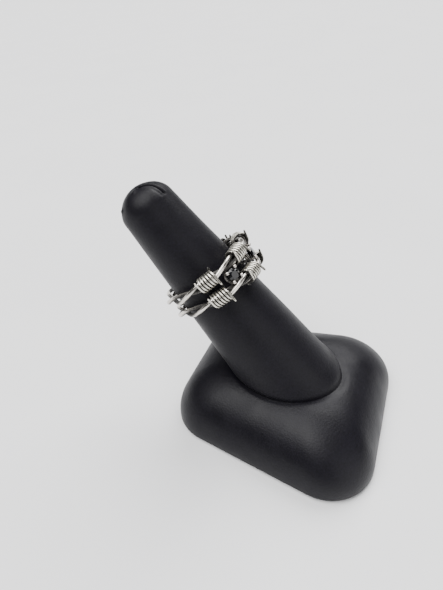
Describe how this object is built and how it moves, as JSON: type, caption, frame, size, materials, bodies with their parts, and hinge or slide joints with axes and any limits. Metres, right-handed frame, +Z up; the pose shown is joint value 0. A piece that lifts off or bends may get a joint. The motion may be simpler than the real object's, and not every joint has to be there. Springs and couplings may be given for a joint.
{
  "type": "barbed-wire style finger ring on a display finger",
  "caption": "Double-band twisted-wire finger ring with barbed coils and claw-set stones, seated on a leaning padded display finger with a cushioned base.",
  "frame": {"origin": "centre of the flat underside of the base", "axes": "+Z up, +Y the way the finger leans and the base's narrow end, +X across the base"},
  "size_m": [0.0552, 0.072, 0.0694],
  "materials": {
    "leatherette": "fine grained matte leatherette",
    "liner_card": "flocked card",
    "board": "raw fibreboard",
    "foam": "open foam",
    "turned_wood": "turned softwood",
    "screw_steel": "zinc plated",
    "silver_wire": "polished silver, oxidised in the recesses",
    "silver_barb": "polished silver, oxidised between the turns",
    "silver_setting": "oxidised silver with bright claw tips",
    "black_stone": "faceted black stone"
  },
  "bodies": {
    "stand": {"underside_liner": "liner_card", "base_board": "board", "base_padding": "foam", "base_cover": "leatherette", "finger_core": "turned_wood", "finger_padding": "foam", "finger_cover": "leatherette", "finger_screws": "screw_steel"},
    "ring": {"upper_strand_a": "silver_wire", "upper_strand_b": "silver_wire", "lower_strand_a": "silver_wire", "lower_strand_b": "silver_wire", "upper_barb_1": "silver_barb", "upper_barb_2": "silver_barb", "upper_barb_3": "silver_barb", "upper_barb_4": "silver_barb", "lower_barb_1": "silver_barb", "lower_barb_2": "silver_barb", "lower_barb_3": "silver_barb", "lower_barb_4": "silver_barb", "setting_1": "silver_setting", "setting_2": "silver_setting", "setting_3": "silver_setting", "stone_1": "black_stone", "stone_2": "black_stone", "stone_3": "black_stone"}
  },
  "joints": [
    {"name": "ring_slide", "type": "slide", "parent": "stand", "child": "ring", "axis": [0, 0.6074, 0.7944], "range_m": [0, 0.045]}
  ]
}
